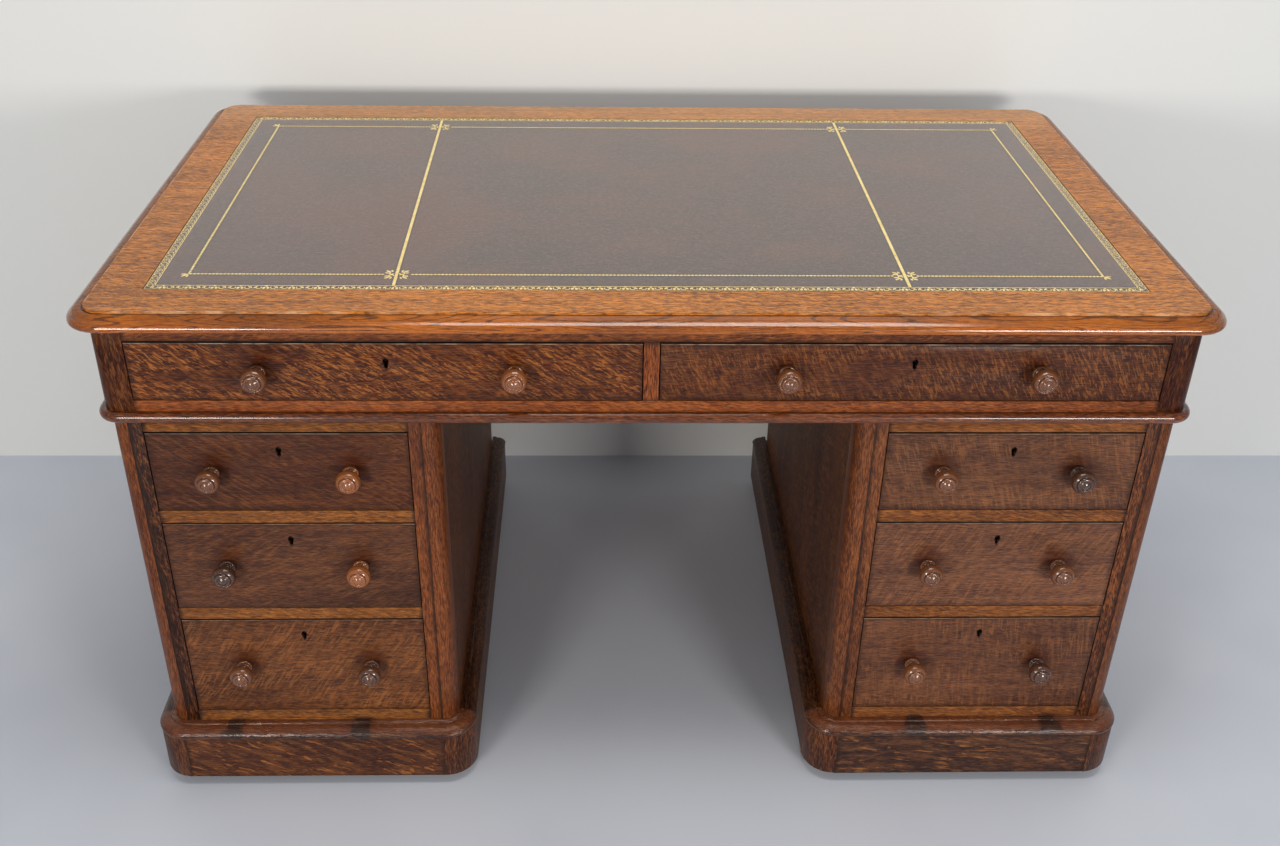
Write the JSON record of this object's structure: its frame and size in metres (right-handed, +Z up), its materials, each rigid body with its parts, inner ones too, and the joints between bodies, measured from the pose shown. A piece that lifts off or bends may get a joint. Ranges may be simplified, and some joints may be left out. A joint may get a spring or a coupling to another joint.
{
  "type": "pedestal desk",
  "caption": "Oak pedestal desk with a tooled leather top, frieze drawers over two banks of pedestal drawers with turned knobs, rounded corners and moulded plinths.",
  "frame": {"origin": "on the floor, in the middle of the bounding box", "axes": "+X to the right along the desk's length, +Y to the back, +Z up"},
  "size_m": [1.383, 0.8101, 0.762],
  "materials": {
    "oak_top": "polished oak, mid brown",
    "oak_drawer": "polished quarter-sawn oak",
    "oak_rail": "polished oak",
    "oak_post": "polished dark oak",
    "oak_side": "polished dark oak",
    "oak_plinth": "polished quarter-sawn oak",
    "oak_knob": "turned and polished",
    "oak_inside": "raw wood",
    "leather": "dark brown, waxed",
    "brass": "aged"
  },
  "bodies": {
    "carcase": {"top_board": "oak_top", "writing_leather": "leather", "frieze_sides": "oak_side", "frieze_back": "oak_side", "frieze_posts": "oak_post", "frieze_rails": "oak_rail", "frieze_runners": "oak_inside", "waist_moulding": "oak_rail", "location_dowels": "oak_inside", "glides": "oak_post", "left_pedestal_sides": "oak_side", "left_pedestal_back": "oak_side", "left_pedestal_front": "oak_rail", "left_pedestal_runners": "oak_inside", "left_pedestal_plinth": "oak_plinth", "right_pedestal_sides": "oak_side", "right_pedestal_back": "oak_side", "right_pedestal_front": "oak_rail", "right_pedestal_runners": "oak_inside", "right_pedestal_plinth": "oak_plinth"},
    "left_frieze_drawer": {"left_frieze_drawer_front": "oak_drawer", "left_frieze_drawer_box": "oak_inside", "left_frieze_drawer_knobs": "oak_knob", "left_frieze_drawer_lock": "brass"},
    "left_frieze_drawer_bolt": {"left_frieze_drawer_bolt": "brass"},
    "left_bottom_drawer": {"left_bottom_drawer_front": "oak_drawer", "left_bottom_drawer_box": "oak_inside", "left_bottom_drawer_knobs": "oak_knob", "left_bottom_drawer_lock": "brass"},
    "left_bottom_drawer_bolt": {"left_bottom_drawer_bolt": "brass"},
    "left_middle_drawer": {"left_middle_drawer_front": "oak_drawer", "left_middle_drawer_box": "oak_inside", "left_middle_drawer_knobs": "oak_knob", "left_middle_drawer_lock": "brass"},
    "left_middle_drawer_bolt": {"left_middle_drawer_bolt": "brass"},
    "left_top_drawer": {"left_top_drawer_front": "oak_drawer", "left_top_drawer_box": "oak_inside", "left_top_drawer_knobs": "oak_knob", "left_top_drawer_lock": "brass"},
    "left_top_drawer_bolt": {"left_top_drawer_bolt": "brass"},
    "right_frieze_drawer": {"right_frieze_drawer_front": "oak_drawer", "right_frieze_drawer_box": "oak_inside", "right_frieze_drawer_knobs": "oak_knob", "right_frieze_drawer_lock": "brass"},
    "right_frieze_drawer_bolt": {"right_frieze_drawer_bolt": "brass"},
    "right_bottom_drawer": {"right_bottom_drawer_front": "oak_drawer", "right_bottom_drawer_box": "oak_inside", "right_bottom_drawer_knobs": "oak_knob", "right_bottom_drawer_lock": "brass"},
    "right_bottom_drawer_bolt": {"right_bottom_drawer_bolt": "brass"},
    "right_middle_drawer": {"right_middle_drawer_front": "oak_drawer", "right_middle_drawer_box": "oak_inside", "right_middle_drawer_knobs": "oak_knob", "right_middle_drawer_lock": "brass"},
    "right_middle_drawer_bolt": {"right_middle_drawer_bolt": "brass"},
    "right_top_drawer": {"right_top_drawer_front": "oak_drawer", "right_top_drawer_box": "oak_inside", "right_top_drawer_knobs": "oak_knob", "right_top_drawer_lock": "brass"},
    "right_top_drawer_bolt": {"right_top_drawer_bolt": "brass"}
  },
  "joints": [
    {"name": "left_frieze_drawer_slide", "type": "slide", "parent": "carcase", "child": "left_frieze_drawer", "axis": [0, -1, 0], "range_m": [0, 0.42]},
    {"name": "left_frieze_drawer_bolt_throw", "type": "slide", "parent": "left_frieze_drawer", "child": "left_frieze_drawer_bolt", "axis": [0, 0, 1], "range_m": [0, 0.007]},
    {"name": "left_bottom_drawer_slide", "type": "slide", "parent": "carcase", "child": "left_bottom_drawer", "axis": [0, -1, 0], "range_m": [0, 0.42]},
    {"name": "left_bottom_drawer_bolt_throw", "type": "slide", "parent": "left_bottom_drawer", "child": "left_bottom_drawer_bolt", "axis": [0, 0, 1], "range_m": [0, 0.007]},
    {"name": "left_middle_drawer_slide", "type": "slide", "parent": "carcase", "child": "left_middle_drawer", "axis": [0, -1, 0], "range_m": [0, 0.42]},
    {"name": "left_middle_drawer_bolt_throw", "type": "slide", "parent": "left_middle_drawer", "child": "left_middle_drawer_bolt", "axis": [0, 0, 1], "range_m": [0, 0.007]},
    {"name": "left_top_drawer_slide", "type": "slide", "parent": "carcase", "child": "left_top_drawer", "axis": [0, -1, 0], "range_m": [0, 0.42]},
    {"name": "left_top_drawer_bolt_throw", "type": "slide", "parent": "left_top_drawer", "child": "left_top_drawer_bolt", "axis": [0, 0, 1], "range_m": [0, 0.007]},
    {"name": "right_frieze_drawer_slide", "type": "slide", "parent": "carcase", "child": "right_frieze_drawer", "axis": [0, -1, 0], "range_m": [0, 0.42]},
    {"name": "right_frieze_drawer_bolt_throw", "type": "slide", "parent": "right_frieze_drawer", "child": "right_frieze_drawer_bolt", "axis": [0, 0, 1], "range_m": [0, 0.007]},
    {"name": "right_bottom_drawer_slide", "type": "slide", "parent": "carcase", "child": "right_bottom_drawer", "axis": [0, -1, 0], "range_m": [0, 0.42]},
    {"name": "right_bottom_drawer_bolt_throw", "type": "slide", "parent": "right_bottom_drawer", "child": "right_bottom_drawer_bolt", "axis": [0, 0, 1], "range_m": [0, 0.007]},
    {"name": "right_middle_drawer_slide", "type": "slide", "parent": "carcase", "child": "right_middle_drawer", "axis": [0, -1, 0], "range_m": [0, 0.42]},
    {"name": "right_middle_drawer_bolt_throw", "type": "slide", "parent": "right_middle_drawer", "child": "right_middle_drawer_bolt", "axis": [0, 0, 1], "range_m": [0, 0.007]},
    {"name": "right_top_drawer_slide", "type": "slide", "parent": "carcase", "child": "right_top_drawer", "axis": [0, -1, 0], "range_m": [0, 0.42]},
    {"name": "right_top_drawer_bolt_throw", "type": "slide", "parent": "right_top_drawer", "child": "right_top_drawer_bolt", "axis": [0, 0, 1], "range_m": [0, 0.007]}
  ]
}
